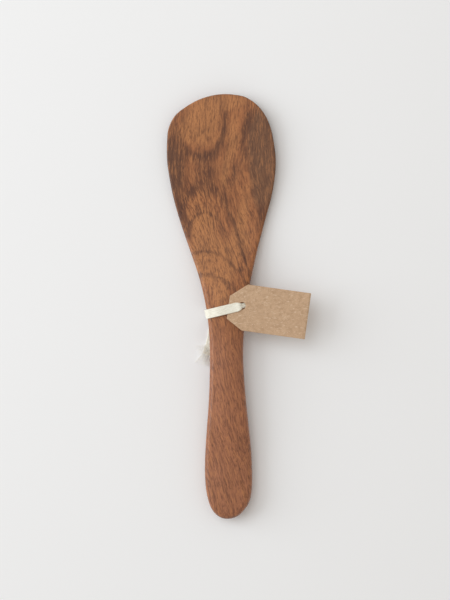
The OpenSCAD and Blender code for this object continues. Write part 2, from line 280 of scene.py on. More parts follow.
# Loose yarns at a cut end
FRAY_FIBRES = 4
FRAY_STEPS = 12
FRAY_SIDES = 5
FRAY_ROOT = 1 * MM
FRAY_RADIUS = 0.065 * MM
FRAY_TAPER = 0.65
# Shortest yarn, and shortest fibre of a yarn, as shares of the longest
YARN_REACH = 0.92
FIBRE_REACH = 0.88
# How the fibres part: squeezed a little at the root, spread evenly, and drifting more and
# more towards the end
FRAY_SQUEEZE = 0.95
FRAY_SPREAD = 0.7
FRAY_WANDER = 1.3 * MM
FIBRE_WANDER = 0.8
DRIFT_POWER = 1.6
FRAY_WIDEST = 5.7 * MM
# Least and greatest wave of a fibre in millimetres, and how far round it goes in radians
WAVE_MM = (0.2, 0.5)
WAVE_TURN = 7
FRAY_LIFT = 2.8 * MM
LIFT_TURN = 2.4
FRAY_FLOOR = 0.2 * MM
# Where the fibres lie on the weave map, in metres: beside the woven part, which ends before
# the span in which the colour turns to that of the loose yarns
LOOSE_PLACE = (0, 50 * MM)
LOOSE_SPAN_MM = (10, 20)


def fibre_points(loose, share, reach, drift, wave, phase, lift):
    """The way of a fibre that leaves the tape at a share of its half width."""
    points = []
    for k in range(FRAY_STEPS + 1):
        gone = k / FRAY_STEPS
        i = min(len(loose) - 2, int(reach * gone))
        side = level_side((loose[i + 1] - loose[i]).normalized())
        out = share * TAPE_W / 2 * (FRAY_SQUEEZE + FRAY_SPREAD * gone ** 2)
        out += drift * gone ** DRIFT_POWER
        out += wave * gone * math.sin(phase + gone * WAVE_TURN)
        out = max(-FRAY_WIDEST, min(FRAY_WIDEST, out))
        place = loose[i].lerp(loose[i + 1], reach * gone - i) + side * out
        place.z += lift * gone * math.sin(gone * LIFT_TURN) + wave * gone * math.cos(phase)
        place.z = max(FRAY_FLOOR, place.z)
        points.append(place)
    return points


def add_fray(strip, path, chance):
    """The warp yarns past the last weft, each come apart into a few fibres."""
    loose = path[-round((FRAYED + FRAY_ROOT) / WEFT_STEP):]
    for yarn in range(YARNS):
        share = 2 * (yarn + 0.5) / YARNS - 1
        yarn_reach = chance.uniform(YARN_REACH, 1)
        yarn_drift = chance.gauss(0, FRAY_WANDER)
        for _ in range(FRAY_FIBRES):
            reach = yarn_reach * chance.uniform(FIBRE_REACH, 1) * (len(loose) - 1)
            drift = yarn_drift + chance.gauss(0, FRAY_WANDER * FIBRE_WANDER)
            wave = chance.uniform(*WAVE_MM) * MM
            phase = chance.uniform(0, 2 * math.pi)
            lift = chance.uniform(0, FRAY_LIFT)
            add_fibre(strip, fibre_points(loose, share, reach, drift, wave, phase, lift))


def add_fibre(strip, points):
    """A thin tube along the points that tapers to a closed tip."""
    rings = []
    new_vert = strip.bm.verts.new
    for i, place in enumerate(points[:-1]):
        way = (points[i + 1] - points[max(i - 1, 0)]).normalized()
        side = level_side(way)
        up = side.cross(way)
        size = FRAY_RADIUS * (1 - FRAY_TAPER * i / len(points))
        rings.append([(new_vert(place + (side * math.cos(a) + up * math.sin(a)) * size),
                       LOOSE_PLACE)
                      for a in (2 * math.pi * s / FRAY_SIDES for s in range(FRAY_SIDES))])
    tip = (new_vert(points[-1]), LOOSE_PLACE)
    for near, far in zip(rings, rings[1:]):
        for s in range(FRAY_SIDES):
            n = (s + 1) % FRAY_SIDES
            strip.face([near[s], near[n], far[n], far[s]])
    for s in range(FRAY_SIDES):
        strip.face([rings[-1][s], rings[-1][(s + 1) % FRAY_SIDES], tip])
    strip.face(list(reversed(rings[0])))


# The tape from the knot, round the neck, through the tag and back to the knot

def by_hole(u, z, v=0.0):
    """Place at u along the tape and v across it from the tag's hole, and z above the table."""
    return Vector((hole.x, hole.y, z)) + tape_along * u + tape_across * v


STRAND_W = 2.2 * MM
STRAND_T = 1.5 * MM
GATHER_L = 5 * MM
# Strands of the knot in millimetres: along and across the tape from its middle, and height
LEFT_STRAND = [(-1.9, -1.6, 2.3), (-2.9, -1.3, 2.3), (0, -1.9, 3.7), (2.1, -2.6, 2.1),
               (3.3, 0, 1.2), (2.1, 2.6, 2.1), (0, 1.9, 3.7), (-2.9, 1.3, 2.3)]
RIGHT_STRAND = [(2.9, 1.3, 4.0), (0, 1.9, 1.6), (-2.2, 2.6, 3.1), (-3.4, 0, 4.0),
                (-2.2, -2.6, 3.1), (0, -1.9, 1.6), (1.8, -1.5, 2.6), (2.1, -2.5, 2.4)]
# Beside the knot: share of the gathered length, and width and thickness as shares
GATHERED = [(0.1, 0.42, 1.9), (0.5, 0.66, 1.4), (0.9, 0.94, 1)]
# Over the tag in millimetres: along the tape from the hole and above the tag, then width
# and thickness as shares
OVER_TAG = [(-8.5, 0.55, 1, 1), (-6, 0.55, 1, 1), (-4.4, 0.62, 1, 1), (-3.2, 0.8, 0.96, 1.1),
            (-2.3, 0.86, 0.88, 1.3), (-1.5, 0.62, 0.76, 1.6), (-1, 0.1, 0.66, 1.8),
            (-0.7, -0.5, 0.58, 1.9), (-0.3, -1.1, 0.55, 2)]
TAG_CLEARANCE = 17.7 * MM
# The turn at the neck's left ends a little short of the top, in right angles
LEFT_TURN_END = 1.15
# On the right shoulder the strand opens from a share of its width and thickness. It lies
# a little higher there, as a share of the thickness
SHOULDER_SIDE = math.radians(58)
SHOULDER_W = 0.5
SHOULDER_T = 2
SHOULDER_RISE = 0.45
ARC_STEPS = 5


def arc(centre, radius, start, end):
    """Points of an arc, as pairs along the tape and up."""
    angles = [start + (end - start) * k / ARC_STEPS for k in range(ARC_STEPS + 1)]
    return [(centre[0] + radius * math.cos(a), centre[1] + radius * math.sin(a)) for a in angles]


class Neck:
    """The wood under the tape, felt with rays at the tape's middle and edges."""

    FAR = 60 * MM

    def __init__(self, tree):
        self.tree = tree
        self.edges = [s * (TAPE_W / 2 + SLIP_GAP) for s in (-1, -0.5, 0, 0.5, 1)]
        height = (self.over(-KNOT_BACK) + self.under(-KNOT_BACK)) / 2
        self.left = min(self.ray(v, -self.FAR, height, tape_along) for v in self.edges)
        self.right = max(self.ray(v, self.FAR, height, -tape_along) for v in self.edges)

    def ray(self, v, u, z, way):
        """How far along the tape a level ray meets the wood."""
        place = self.tree.ray_cast(by_hole(u, z, v), way)[0]
        return (place - by_hole(0, z)).dot(tape_along)

    def heights(self, u, z, way):
        """Heights of the wood at one place along the tape, at the tape's middle and edges."""
        return [self.tree.ray_cast(by_hole(u, z, v), way)[0].z for v in self.edges]

    def over(self, u):
        """Highest wood at one place along the tape."""
        return max(self.heights(u, self.FAR, Vector((0, 0, -1))))

    def under(self, u):
        """Lowest wood at one place along the tape."""
        return min(self.heights(u, -self.FAR, Vector((0, 0, 1))))


def loop_points(neck):
    """The loop's rows along the tape, from the knot's left end to its right end."""
    reach = NECK_ROUND + SLIP_GAP + TAPE_T / 2
    left, right = neck.left + NECK_ROUND, neck.right - NECK_ROUND
    over_left, over_right = neck.over(left) - NECK_ROUND, neck.over(right) - NECK_ROUND
    under_left, under_right = neck.under(left) + NECK_ROUND, neck.under(right) + NECK_ROUND
    turn = math.pi / 2
    plain = [(u, z, 1, 1) for u, z in
             arc((left, under_left), reach, 3 * turn, 2 * turn)
             + arc((left, over_left), reach, 2 * turn, LEFT_TURN_END * turn)
             + [(-TAG_CLEARANCE, tag_high.z + OVER_TAG[0][1] * MM)]]
    above = [(u * MM, tag_high.z + z * MM, w, t) for u, z, w, t in OVER_TAG]
    shoulder = arc((right, over_right), reach + TAPE_T * SHOULDER_RISE, SHOULDER_SIDE, 0)
    opening = []
    for k, (u, z) in enumerate(shoulder):
        opened = math.sqrt(k / ARC_STEPS)
        opening.append((u, z, SHOULDER_W + (1 - SHOULDER_W) * opened,
                        SHOULDER_T - (SHOULDER_T - 1) * opened))
    last = [(u, z, 1, 1) for u, z in arc((right, under_right), reach, 0, -turn)]
    rows = plain + above + opening + last
    return [row(by_hole(u, z), w * TAPE_W, t * TAPE_T) for u, z, w, t in rows]


def strand_rows(points):
    """Rows of a tight strand of the knot."""
    return [row(knot + tape_along * u * MM + tape_across * v * MM + Vector((0, 0, z * MM)),
                STRAND_W, STRAND_T) for u, v, z in points]


def gathered(side, height):
    """Rows where the tape is drawn together beside the knot, from the knot outwards."""
    middle = knot + Vector((0, 0, height))
    start = KNOT_L / 2
    return [row(middle + tape_along * side * (start + GATHER_L * share), width * TAPE_W,
                thick * TAPE_T)
            for share, width, thick in GATHERED]


def make_loop_and_knot(material):
    """One tape from a strand of the knot round the neck to the other strand, cut in two."""
    neck = Neck(BVHTree.FromObject(frame["nodes"]["wooden_spatula"],
                                   bpy.context.evaluated_depsgraph_get()))
    height = neck.under(-KNOT_BACK) - SLIP_GAP - TAPE_T / 2
    left = strand_rows(LEFT_STRAND)
    right = strand_rows(RIGHT_STRAND)
    middle = gathered(-1, height) + loop_points(neck) + gathered(1, height)[::-1]
    path = smooth_path(left + middle + right)
    first = len(left) * PATH_STEPS
    second = (len(left) + len(middle) - 1) * PATH_STEPS
    loop = Strip()
    loop.sweep(even_path(path[first:second + 1], WEFT_STEP), loop_side)
    finish_piece(loop.finish("neck_loop"), "tape", material, "tape_loop")
    tied = Strip()
    tied.sweep(even_path(path[:first + 1], WEFT_STEP), level_side)
    tied.sweep(even_path(path[second:], WEFT_STEP), level_side)
    finish_piece(tied.finish("reef_knot"), "tape", material, "tape_knot")


# Card tag

TAG_L = 56 * MM
TAG_W = 32.5 * MM
TAG_TURN = math.radians(-9)
HOLE_R = 2.5 * MM
HOLE_BACK = 9.4 * MM
HOLE_OFF = 0.9 * MM
CLIP_L = 11.5 * MM
CLIP_UP = 9.6 * MM
CLIP_DOWN = 6.8 * MM
TAG_SPACING = 0.6 * MM
TAG_RINGS = 26
TAG_EDGE = 0.12 * MM
TAG_ROUGH_EDGE = 0.05 * MM
TAG_ROUGH_SCALE = 1400
TAG_CURL = 0.35 * MM
TAG_BEND = 1.5
TAG_TWIST = 0.7


def tag_outline():
    """Points round the tag's edge, about its hole."""
    up, down = TAG_W / 2 - HOLE_OFF, -TAG_W / 2 - HOLE_OFF
    back, front = -HOLE_BACK, TAG_L - HOLE_BACK
    corners = [Vector(p) for p in (
        (back, down + CLIP_DOWN), (back + CLIP_L, down), (front, down), (front, up),
        (back + CLIP_L, up), (back, up - CLIP_UP))]
    points = []
    for a, b in zip(corners, corners[1:] + corners[:1]):
        count = round((b - a).length / TAG_SPACING)
        points += [a.lerp(b, k / count) for k in range(count)]
    return points


def tag_curl(place):
    """Height of the curled card: none at the hole, and a slow bend towards the far end."""
    share = max(0, place.x) / TAG_L
    return TAG_CURL * (TAG_BEND * share ** 2 - TAG_TWIST * share * (place.y / TAG_W + 0.5))


def make_tag(material):
    """The card in rings from its hole to its edge and back underneath, with rounded rims."""
    outline = tag_outline()
    bm = bmesh.new()
    thick = tag_high.z - tag_low.z
    shares = [k / TAG_RINGS for k in range(1, TAG_RINGS)]
    # Each ring's share of the way out, inset and height: the top, the rim, and the underside
    profile = [(0, TAG_EDGE, thick)] + [(share, 0, thick) for share in shares]
    profile += [(1, TAG_EDGE, thick), (1, 0, thick - TAG_EDGE), (1, 0, TAG_EDGE), (1, TAG_EDGE, 0)]
    profile += [(share, 0, 0) for share in reversed(shares)]
    profile += [(0, TAG_EDGE, 0), (0, 0, TAG_EDGE), (0, 0, thick - TAG_EDGE)]
    turned = Matrix.Rotation(TAG_TURN, 3, "Z")
    rings = []
    for share, inset, height in profile:
        ring = []
        for place in outline:
            inner = place.normalized() * (HOLE_R + (inset if share == 0 else 0))
            furred = noise.noise(Vector((place.x, place.y, 0)) * TAG_ROUGH_SCALE)
            ragged = furred * TAG_ROUGH_EDGE
            outer = place - place.normalized() * ((inset if share == 1 else 0) - ragged)
            flat = inner.lerp(outer, share)
            at = turned @ Vector((flat.x, flat.y, 0))
            ring.append(bm.verts.new((hole.x + at.x, hole.y + at.y,
                                      tag_low.z + height + tag_curl(flat))))
        rings.append(ring)
    for near, far in zip(rings, rings[1:] + rings[:1]):
        for k in range(len(outline)):
            n = (k + 1) % len(outline)
            bm.faces.new([near[k], near[n], far[n], far[k]]).smooth = True
    bmesh.ops.recalc_face_normals(bm, faces=bm.faces)
    mesh = bpy.data.meshes.new("kraft_tag")
    bm.to_mesh(mesh)
    bm.free()
    finish_piece(new_object("kraft_tag", mesh), "tag", material, "card_tag")


# Wood

WELD = 0.001 * MM
SMOOTH_LEVELS = 2
CARVED_DEPTH = 0.1 * MM
CARVED_SCALE = (90, 26, 90)


def make_wood(material):
    """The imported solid's own surface, in squares, smoothed, with the marks of handwork."""
    bm = bmesh.new()
    bm.from_mesh(frame["nodes"]["wooden_spatula"].data)
    bmesh.ops.remove_doubles(bm, verts=bm.verts, dist=WELD)
    diagonals = [e for e in bm.edges if len(e.link_faces) == 2 and all(
        e.calc_length() >= max(o.calc_length() for o in f.edges) for f in e.link_faces)]
    bmesh.ops.dissolve_edges(bm, edges=diagonals, use_verts=False)
    mesh = bpy.data.meshes.new("carved_spatula")
    bm.to_mesh(mesh)
    bm.free()
    wood = new_object("carved_spatula", mesh)
    smooth = wood.modifiers.new("smooth", "SUBSURF")
    smooth.levels = smooth.render_levels = SMOOTH_LEVELS
    wood.data = bpy.data.meshes.new_from_object(
        wood.evaluated_get(bpy.context.evaluated_depsgraph_get()))
    wood.modifiers.clear()
    carved = []
    for vert in wood.data.vertices:
        place = Vector(a * b for a, b in zip(vert.co, CARVED_SCALE))
        moved = vert.co + vert.normal * noise.noise(place) * CARVED_DEPTH
        carved += [moved.x, moved.y, max(0, moved.z)]
    wood.data.vertices.foreach_set("co", carved)
    shade_smooth(wood.data)
    finish_piece(wood, "spatula", material, "wooden_spatula")


# Materials

class Graph:
    """A material's nodes. An input is a number, a colour, a place or another node's output."""

    def __init__(self, name):
        self.material = bpy.data.materials.new(name)
        self.material.use_nodes = True
        self.nodes = self.material.node_tree.nodes
        self.links = self.material.node_tree.links
        self.shader = self.nodes["Principled BSDF"]

    def put(self, socket, value):
        """Links a socket to a node's output, or sets its value."""
        if isinstance(value, bpy.types.NodeSocket):
            self.links.new(value, socket)
        elif isinstance(value, tuple) and socket.type == "RGBA" and len(value) == 3:
            socket.default_value = (*value, 1)
        else:
            socket.default_value = value

    def node(self, kind, inputs, output=0, **settings):
        """Adds a node with its inputs and settings, and gives one of its outputs."""
        made = self.nodes.new("ShaderNode" + kind)
        for name, value in settings.items():
            setattr(made, name, value)
        for name, value in inputs.items():
            self.put(made.inputs[name], value)
        return made.outputs[output]

    def math(self, operation, a, b=0.0, c=0.0, clamp=False):
        return self.node("Math", {0: a, 1: b, 2: c}, operation=operation, use_clamp=clamp)

    def times(self, value, factor):
        return self.math("MULTIPLY", value, factor)

    def plus(self, a, b):
        return self.math("ADD", a, b)

    def scaled(self, value, factor, shift):
        """Value times the factor, plus the shift."""
        return self.math("MULTIPLY_ADD", value, factor, shift)

    def vector(self, operation, a, b):
        return self.node("VectorMath", {0: a, 1: b}, operation=operation)

    def distance(self, x, y):
        """How far a place on a plane is from the middle."""
        return self.node("VectorMath", {0: self.join(x, y, 0.0)}, output="Value",
                         operation="LENGTH")

    def span(self, value, low, high, to_low=0.0, to_high=1.0):
        """Value carried smoothly from one span to another, and held at its ends."""
        return self.node("MapRange", {0: value, 1: low, 2: high, 3: to_low, 4: to_high},
                         interpolation_type="SMOOTHSTEP")

    def mix(self, share, a, b):
        """Colour a, and a share of colour b."""
        return self.node("Mix", {0: share, 6: a, 7: b}, output=2, data_type="RGBA",
                         clamp_factor=True)

    def tints(self, colour, rows):
        """Colours laid on in turn. Each row is the value that brings the colour in, where it
        begins and is full, the most that it covers, and the colour.
        """
        for value, begins, full, most, tint in rows:
            colour = self.mix(self.span(value, begins, full, 0, most), colour, tint)
        return colour

    def noise(self, place, scale, detail, rough, turned=0.0):
        return self.node("TexNoise", {"Vector": place, "Scale": scale, "Detail": detail,
                                      "Roughness": rough, "Distortion": turned})

    def split(self, place):
        made = self.nodes.new("ShaderNodeSeparateXYZ")
        self.put(made.inputs[0], place)
        return made.outputs

    def join(self, x, y, z):
        return self.node("CombineXYZ", {0: x, 1: y, 2: z})

    def bump(self, height, distance, strength):
        return self.node("Bump", {"Height": height, "Distance": distance,
                                  "Strength": strength})

    def finish(self, inputs):
        """Sets the shader's inputs and gives the material."""
        for name, value in inputs.items():
            self.put(self.shader.inputs[name], value)
        return self.material


def millimetres(graph):
    """Place on the object in millimetres, with Y counted from the handle's end."""
    place = graph.node("TexCoord", {}, output="Object")
    moved = graph.vector("SUBTRACT", place, (0, handle_end, 0))
    return graph.vector("MULTIPLY", moved, (1 / MM, 1 / MM, 1 / MM))


# Half height of a patch in millimetres
THROUGH = 1000


def patch(graph, place, centre, size, lean):
    """1 in the middle of an oval patch and 0 at its rim. It goes right through the wood."""
    oval = graph.node("Mapping", {"Vector": place, "Location": (*centre, 0),
                                  "Rotation": (0, 0, math.radians(lean)),
                                  "Scale": (*size, THROUGH)}, vector_type="TEXTURE")
    return graph.node("TexGradient", {"Vector": oval}, output="Fac",
                      gradient_type="SPHERICAL")


def ring_lines(graph, depth, rows):
    """Dark lines among the growth rings: depth, fade on each side and strength of each."""
    total = 0.0
    for middle, inward, outward, strength in rows:
        line = graph.times(graph.span(depth, middle - inward, middle),
                           graph.span(depth, middle + outward, middle))
        total = graph.scaled(line, strength, total)
    return total


def patches(graph, place, rows):
    """Several patches added up: centre, half sizes, lean in degrees and strength of each."""
    total = 0.0
    for centre, size, lean, strength in rows:
        total = graph.scaled(patch(graph, place, centre, size, lean), strength, total)
    return total


# Colours of the wood
GOLD = (0.48, 0.195, 0.07)
ORANGE = (0.37, 0.133, 0.048)
RUSSET = (0.375, 0.145, 0.072)
UMBER = (0.095, 0.032, 0.015)
SMOKE = (0.18, 0.083, 0.042)
PORE = (0.04, 0.014, 0.008)

# Figure of the wood: patches in millimetres, from the middle and from the handle's end. Each
# row is a patch's centre, half sizes, lean in degrees and strength
DARK_PATCHES = [
    ((-36, 257), (14, 34), 4, 1.5), ((-13, 256), (18, 7), 4, 0.7), ((-25, 262), (5, 16), -35, 0.5),
    ((-33, 232), (10, 16), 8, 0.45), ((-12, 243), (16, 18), 0, 0.85), ((-9, 231), (8, 6), 0, 0.6),
    ((1.9, 277), (2.4, 19), -8, 0.8), ((-3, 264), (3, 12), -20, 0.8),
    ((-28, 212), (7.5, 22), 14, 1.5), ((-22, 230), (8, 14), 0, 0.6),
    ((20, 281), (4.5, 17), -14, 1.1), ((16, 258), (4, 20), 2, 0.8),
    ((28, 214), (6, 16), -14, 1.0), ((7, 238), (3, 14), -12, 0.7),
]
# Dark lines that few fibres break
LINE_PATCHES = [
    ((1.9, 276), (1.8, 19), -8, 1.3), ((2, 229), (1.6, 13), 12, 1.0),
    ((7, 209), (1.7, 15), 17, 1.5), ((13, 188), (1.8, 15), 20, 1.2),
    ((12, 176), (2.6, 2.6), 0, 1.3), ((16, 274), (2.2, 20), -12, 1.3),
    ((-9, 246), (1.4, 12), 6, 0.7), ((9, 246), (1.3, 14), 12, 0.8), ((22, 244), (1.4, 16), 8, 0.7),
]
# Clearest growth rings, round the eye, as arches below it and as flatter arches towards the
# neck. Each row is a ring's place, its fade on each side and its strength
EYE_LINES = [(9.5, 2, 2, 0.3), (14.5, 1.5, 2.5, 0.3), (20.5, 3.5, 7, 1.1)]
ARCH_LINES = [(235, 2.5, 11, 0.8), (238, 2.5, 4, 0.7), (227, 2, 3, 0.45), (216.5, 1.8, 3.8, 1.15),
              (205, 2, 3, 0.35)]
NECK_LINES = [(197, 1.5, 2.5, 0.35), (189, 1.5, 3.6, 1.15), (182, 1.5, 2, 0.4), (173.5, 5, 2, 1.0)]
# Where the fibres stand out most
STROKED_PATCHES = [((-13, 223), (20, 14), 0, 1.5), ((-12, 205), (14, 12), 0, 0.8)]
SMOKY_PATCHES = [
    ((33, 266), (20, 38), -3, 1.8), ((32, 238), (16, 30), -8, 1.3), ((-38, 248), (14, 32), 5, 1.3),
    ((9, 243), (7, 14), -10, 0.4),
]
GOLD_PATCHES = [
    ((-14, 278), (20, 18), 10, 1.2), ((0, 294), (28, 9), 4, 1.0), ((-14, 204), (14, 24), 2, 1.1),
    ((2, 246), (4, 18), -8, 1.0), ((13, 212), (6, 30), -14, 0.9), ((-7, 180), (20, 22), 0, 1.8),
    ((8, 268), (6, 22), -2, 0.8), ((-24, 276), (8, 12), -30, 0.7), ((-3, 158), (9, 16), 0, 1.0),
    ((12, 195), (12, 18), -10, 0.8),
]

# The grain leans left up to the bend and right above it, and wanders as it runs
BEND_Y = 246.0
LEAN_BELOW = 0.2
LEAN_ABOVE = -0.07
WANDER = 14.0
WANDER_STRETCH = (0.03, 0.012, 0.03)
WANDER_NOISE = (1.0, 3.0, 0.5)
# How it goes on below the surface: its depth, and how much of the wander shows there
GRAIN_DEPTH = 0.8
DEPTH_WANDER = 0.5
# Each noise has a scale, a detail and a roughness. A pattern that runs with the grain has
# first the share of the length that counts
STREAKS = (0.07, 0.5, 5.0, 0.62)
FIBRES = (0.12, 1.1, 3.0, 0.65)
BANDS = (0.02, 0.22, 3.0, 0.6)
PORES = (0.16, 2.2, 2.0, 0.5)
# How far fibres along and streaks across pull the rims of patches and of lines
PATCH_TORN = (18.0, 7.0)
LINE_TORN = (5.0, 4.0)
# Faint growth rings: they lie round an axis under the top, which it reaches at the eye
AXIS_LEFT = 14.0
AXIS_EYE_Y = 289.0
AXIS_EYE_SHARE = 0.5
AXIS_SUNK = 6.0
AXIS_TILT = -0.3
ARCH_SLOPE = 1 / 2.6
ARCH_SHIFT = -82.0
ARCH_BLEND = 5.0
RING_TORN = (5.0, 4.0)
RING_STRETCH = 0.02
RING_LAYER = 3.0
RING_NOISE = (0.3, 2.0, 0.6)
# Clearest growth rings: how far left the eye lies, how it is squeezed across and along, how
# far down it then moves, and where its rings fade towards the tip
EYE_LEFT = 15.0
EYE_SQUEEZE = (1.21, 0.853)
EYE_DOWN = -239.7
EYE_SPAN = (290, 272)
# The arches' middle, how steeply they fall to the sides, and how far the fibres pull them
ARCH_LEFT = 13.0
STEEP = 0.07
FLAT = 0.028
WOBBLE = (6.0, 5.0, -5.5)
# Lines are weaker where no streak lies: streaks from and to, and strength from and to
LINES_BROKEN = (0.3, 0.55, 0.55, 1.0)
# Where the faint rings end towards the handle, and where the handle's own colour begins
RINGS_SPAN = (150, 172)
HANDLE_SPAN = (150, 110)
# Most that late and early wood and the pores colour the wood
LATE_SHARE = 0.25
EARLY_SHARE = 0.35
PORE_SHARE = 0.5
# Roughness: plain wood, and what fibres, pores and edges burnished by hand add
WOOD_ROUGH = 0.38
FIBRE_ROUGH = 0.16
PORE_ROUGH = 0.15
BURNISHED_ROUGH = -0.22
FIBRE_HEIGHT = 0.8
WOOD_BUMP = (0.06 * MM, 0.6)


class Grain:
    """Places in millimetres and along the grain, with the streaks and fibres that lie there."""

    def __init__(self, graph):
        self.graph = g = graph
        place = millimetres(g)
        self.x, self.y, self.z = g.split(place)
        wander = g.noise(g.vector("MULTIPLY", place, WANDER_STRETCH), *WANDER_NOISE)
        wander = g.scaled(wander, WANDER, -WANDER / 2)
        below = g.times(g.math("MINIMUM", self.y, BEND_Y), LEAN_BELOW)
        above = g.times(g.math("MAXIMUM", self.y, BEND_Y), LEAN_ABOVE)
        self.across = g.plus(g.plus(g.plus(below, above), self.x), wander)
        self.depth = g.scaled(self.z, GRAIN_DEPTH, g.times(wander, DEPTH_WANDER))
        self.streaks = self.pattern(*STREAKS)
        self.fibres = self.pattern(*FIBRES)

    def pattern(self, stretch, scale, detail, rough):
        """A noise that is drawn out along the grain."""
        g = self.graph
        place = g.join(self.across, g.times(self.y, stretch), self.depth)
        return g.noise(place, scale, detail, rough)

    def torn(self, along, aside):
        """The place pulled about by the fibres, so that what lies there has a rim of fibres."""
        g = self.graph
        y = g.scaled(self.fibres, along, g.math("SUBTRACT", self.y, along / 2))
        x = g.scaled(self.streaks, aside, g.math("SUBTRACT", self.x, aside / 2))
        return g.join(x, y, self.z)


def faint_rings(g, grain):
    """Growth rings as the top cuts them: round the eye, and arches that open to the handle."""
    side = g.plus(grain.x, AXIS_LEFT)
    eye = g.distance(side, g.math("SUBTRACT", grain.y, AXIS_EYE_Y))
    spread = g.distance(side, g.scaled(grain.z, AXIS_TILT, AXIS_SUNK))
    arches = g.plus(spread, g.scaled(grain.y, ARCH_SLOPE, ARCH_SHIFT))
    depth = g.math("SMOOTH_MIN", g.times(eye, AXIS_EYE_SHARE), arches, ARCH_BLEND)
    depth = g.scaled(grain.fibres, RING_TORN[0], depth)
    depth = g.scaled(grain.streaks, RING_TORN[1], depth)
    place = g.join(depth, g.times(grain.y, RING_STRETCH), RING_LAYER)
    return g.noise(place, *RING_NOISE)


def clear_rings(g, grain):
    """The dark rings that stand out: round the eye, below it and towards the neck."""
    wobble = g.scaled(grain.fibres, WOBBLE[0], g.scaled(grain.streaks, WOBBLE[1], WOBBLE[2]))
    eye = g.distance(g.times(g.plus(grain.x, EYE_LEFT), EYE_SQUEEZE[0]),
                     g.scaled(grain.y, EYE_SQUEEZE[1], EYE_DOWN))
    eye_lines = ring_lines(g, g.plus(eye, wobble), EYE_LINES)
    eye_lines = g.times(eye_lines, g.span(grain.y, *EYE_SPAN))
    aside = g.plus(grain.x, ARCH_LEFT)
    squared = g.times(aside, aside)
    steep = g.plus(g.scaled(squared, STEEP, grain.y), wobble)
    flat = g.plus(g.scaled(squared, FLAT, grain.y), wobble)
    arch_lines = ring_lines(g, steep, ARCH_LINES)
    neck_lines = ring_lines(g, flat, NECK_LINES)
    drawn = g.plus(eye_lines, g.plus(arch_lines, neck_lines))
    return g.times(drawn, g.span(grain.streaks, *LINES_BROKEN))


def wood_material():
    """Oiled wood: its colours, growth rings, streaks, fibres and open pores."""
    g = Graph("oiled_wood")
    grain = Grain(g)
    streaks, fibres = grain.streaks, grain.fibres
    torn = grain.torn(*PATCH_TORN)
    dark = patches(g, torn, DARK_PATCHES)
    lines = patches(g, grain.torn(*LINE_TORN), LINE_PATCHES)
    smoky = patches(g, torn, SMOKY_PATCHES)
    gold = patches(g, torn, GOLD_PATCHES)
    stroked = g.span(patches(g, torn, STROKED_PATCHES), 0.0, 0.8)

    # The faint rings end before the handle, and are weaker where smoke has darkened the wood
    rings = faint_rings(g, grain)
    bare = g.times(g.span(grain.y, *RINGS_SPAN), g.span(smoky, 0.1, 0.7, 1.0, 0.3))
    late = g.times(g.span(rings, 0.5, 0.62), bare)
    early = g.times(g.span(rings, 0.48, 0.36), bare)

    colour = g.mix(g.span(grain.y, *HANDLE_SPAN), ORANGE, RUSSET)
    colour = g.tints(colour, [
        (gold, 0.05, 0.7, 0.95, GOLD),
        (smoky, 0.1, 0.7, 0.95, SMOKE),
        (dark, 0.1, 0.9, 0.72, UMBER),
    ])
    colour = g.mix(g.times(late, LATE_SHARE), colour, UMBER)
    colour = g.mix(g.times(early, EARLY_SHARE), colour, GOLD)
    colour = g.tints(colour, [
        (clear_rings(g, grain), 0.1, 1.1, 0.6, UMBER),
        (lines, 0.05, 0.7, 0.62, UMBER),
        (grain.pattern(*BANDS), 0.42, 0.66, 0.25, UMBER),
        (streaks, 0.5, 0.7, 0.3, UMBER),
        (streaks, 0.5, 0.3, 0.3, GOLD),
        (fibres, 0.53, 0.36, 0.5, UMBER),
        (fibres, 0.5, 0.68, 0.5, GOLD),
    ])
    colour = g.mix(g.times(g.span(fibres, 0.52, 0.4, 0, 0.5), stroked), colour, UMBER)
    colour = g.mix(g.times(g.span(fibres, 0.5, 0.6, 0, 0.6), stroked), colour, GOLD)

    # Open pores are short and dark, and the ends of the fibres take up more oil
    pores = g.span(grain.pattern(*PORES), 0.57, 0.68)
    colour = g.mix(g.times(pores, PORE_SHARE), colour, PORE)
    facing = g.split(g.node("TexCoord", {}, output="Normal"))
    colour = g.tints(colour, [(g.math("ABSOLUTE", facing[1]), 0.45, 0.95, 0.35, UMBER)])

    burnished = g.span(g.math("ABSOLUTE", facing[2]), 0.96, 0.75)
    rough = g.scaled(fibres, FIBRE_ROUGH, g.scaled(pores, PORE_ROUGH, WOOD_ROUGH))
    rough = g.scaled(burnished, BURNISHED_ROUGH, rough)
    height = g.scaled(pores, -1.0, g.times(fibres, FIBRE_HEIGHT))
    return g.finish({"Base Color": colour, "Roughness": rough, "Specular IOR Level": 0.4,
                     "Normal": g.bump(height, *WOOD_BUMP)})


# Tape: its colours, its noises, and how dark the painted shade in the hollows of the weave is
TAPE_LIGHT = (0.9, 0.865, 0.765)
# The darker colour serves both for painted shade in the weave's hollows and for the real tone of
# slubs and fuzz
TAPE_SHADE_AND_SLUB = (0.76, 0.71, 0.6)
TAPE_LOOSE = (0.98, 0.955, 0.9)
YARN_PITCH = TAPE_W / YARNS
FUZZ_NOISE = (5.0, 4.0, 0.7)
SLUB_STRETCH = 0.25
SLUB_NOISE = (1.6, 3.0, 0.6)
HOLLOW_SHADE = -0.35
FUZZ_HEIGHT = 0.7
TAPE_BUMP = (0.04 * MM, 0.5)


